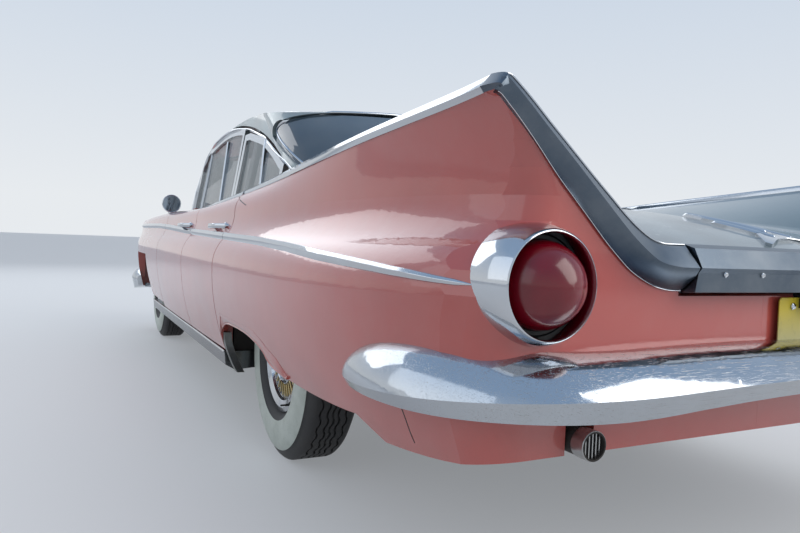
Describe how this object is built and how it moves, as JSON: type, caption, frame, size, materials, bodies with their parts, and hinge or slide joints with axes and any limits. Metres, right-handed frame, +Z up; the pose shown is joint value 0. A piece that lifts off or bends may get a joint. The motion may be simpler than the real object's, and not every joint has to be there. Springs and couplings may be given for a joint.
{
  "type": "finned four-door saloon car, late 1950s",
  "caption": "Full-size four-door saloon with canted tail fins, wrapped glass, opening doors, hood and trunk, steered front wheels and four rolling wheels.",
  "frame": {"origin": "on the floor under the middle of the overall box", "axes": "+X forward, +Y to the car's left, +Z up"},
  "size_m": [5.5208, 2.0402, 1.4528],
  "materials": {
    "body_paint": "glossy coral paint",
    "roof_paint": "glossy grey-green metallic paint",
    "glass": "tinted",
    "chrome": "bright, pitted in places",
    "chassis_steel": "matt black",
    "engine_iron": "painted",
    "tyre": "black with whitewalls",
    "wheel_chrome": "bright hubcap",
    "interior": "satin",
    "upholstery": "woven",
    "lamp_glass": "fluted",
    "tail_lens": "deep red"
  },
  "bodies": {
    "body": {"fender_left": "body_paint", "fender_right": "body_paint", "quarter_left": "body_paint", "quarter_right": "body_paint", "tail_panel": "body_paint", "cowl": "body_paint", "roof": "roof_paint", "deck_panel": "roof_paint", "windscreen": "glass", "rear_window": "glass", "sills": "chrome", "front_bumper": "chrome", "rear_bumper": "chrome", "grille": "chrome", "headlamp_bezels": "chrome", "tail_lamp_sleeves": "chrome", "fin_mouldings": "chrome", "fender_mirror": "chrome", "floor_pan": "chassis_steel", "chassis_frame": "chassis_steel", "rear_axle": "chassis_steel", "front_suspension": "chassis_steel", "exhaust": "chassis_steel", "engine_block": "engine_iron", "dashboard": "interior", "seats": "upholstery", "headlamps": "lamp_glass", "tail_lamps": "tail_lens"},
    "hood": {"hood": "body_paint"},
    "trunk": {"trunk_lid": "roof_paint", "trunk_moulding": "chrome"},
    "door_front_left": {"door_front_left": "body_paint", "door_front_left_glass": "glass"},
    "door_front_right": {"door_front_right": "body_paint", "door_front_right_glass": "glass"},
    "door_rear_left": {"door_rear_left": "body_paint", "door_rear_left_glass": "glass"},
    "door_rear_right": {"door_rear_right": "body_paint", "door_rear_right_glass": "glass"},
    "knuckle_left": {"knuckle_left": "chassis_steel"},
    "knuckle_right": {"knuckle_right": "chassis_steel"},
    "wheel_front_left": {"wheel_front_left": "wheel_chrome", "tyre_front_left": "tyre"},
    "wheel_front_right": {"wheel_front_right": "wheel_chrome", "tyre_front_right": "tyre"},
    "wheel_rear_left": {"wheel_rear_left": "wheel_chrome", "tyre_rear_left": "tyre"},
    "wheel_rear_right": {"wheel_rear_right": "wheel_chrome", "tyre_rear_right": "tyre"},
    "steering_wheel": {"steering_wheel": "interior"}
  },
  "joints": [
    {"name": "door_front_left_hinge", "type": "hinge", "parent": "body", "child": "door_front_left", "pos_m": [0.87, 1.022, 0.6], "axis": [0, 0, -1], "range_deg": [0, 65]},
    {"name": "door_rear_left_hinge", "type": "hinge", "parent": "body", "child": "door_rear_left", "pos_m": [-0.106, 1.022, 0.6], "axis": [0, 0, -1], "range_deg": [0, 65]},
    {"name": "door_front_right_hinge", "type": "hinge", "parent": "body", "child": "door_front_right", "pos_m": [0.87, -1.022, 0.6], "axis": [0, 0, 1], "range_deg": [0, 65]},
    {"name": "door_rear_right_hinge", "type": "hinge", "parent": "body", "child": "door_rear_right", "pos_m": [-0.106, -1.022, 0.6], "axis": [0, 0, 1], "range_deg": [0, 65]},
    {"name": "hood_hinge", "type": "hinge", "parent": "body", "child": "hood", "pos_m": [1.42, 0, 0.935], "axis": [0, -1, 0], "range_deg": [0, 50]},
    {"name": "trunk_hinge", "type": "hinge", "parent": "body", "child": "trunk", "pos_m": [-1.68, 0, 0.935], "axis": [0, 1, 0], "range_deg": [0, 55]},
    {"name": "steer_left", "type": "hinge", "parent": "body", "child": "knuckle_left", "pos_m": [1.897, 0.69, 0.355], "axis": [0, 0, 1], "range_deg": [-30, 30]},
    {"name": "spin_front_left", "type": "hinge", "parent": "knuckle_left", "child": "wheel_front_left", "pos_m": [1.897, 0.775, 0.355], "axis": [0, 1, 0], "continuous": true},
    {"name": "spin_rear_left", "type": "hinge", "parent": "body", "child": "wheel_rear_left", "pos_m": [-1.227, 0.76, 0.355], "axis": [0, 1, 0], "continuous": true},
    {"name": "steer_right", "type": "hinge", "parent": "body", "child": "knuckle_right", "pos_m": [1.897, -0.69, 0.355], "axis": [0, 0, 1], "range_deg": [-30, 30]},
    {"name": "spin_front_right", "type": "hinge", "parent": "knuckle_right", "child": "wheel_front_right", "pos_m": [1.897, -0.775, 0.355], "axis": [0, 1, 0], "continuous": true},
    {"name": "spin_rear_right", "type": "hinge", "parent": "body", "child": "wheel_rear_right", "pos_m": [-1.227, -0.76, 0.355], "axis": [0, 1, 0], "continuous": true},
    {"name": "steering_wheel_turn", "type": "hinge", "parent": "body", "child": "steering_wheel", "pos_m": [0.6, 0.38, 0.81], "axis": [-0.9135, 0, 0.4067], "range_deg": [-360, 360]}
  ],
  "couplings": [
    {"joint": "steer_right", "follows": "steer_left", "ratio": 1},
    {"joint": "steering_wheel_turn", "follows": "steer_left", "ratio": 12}
  ]
}
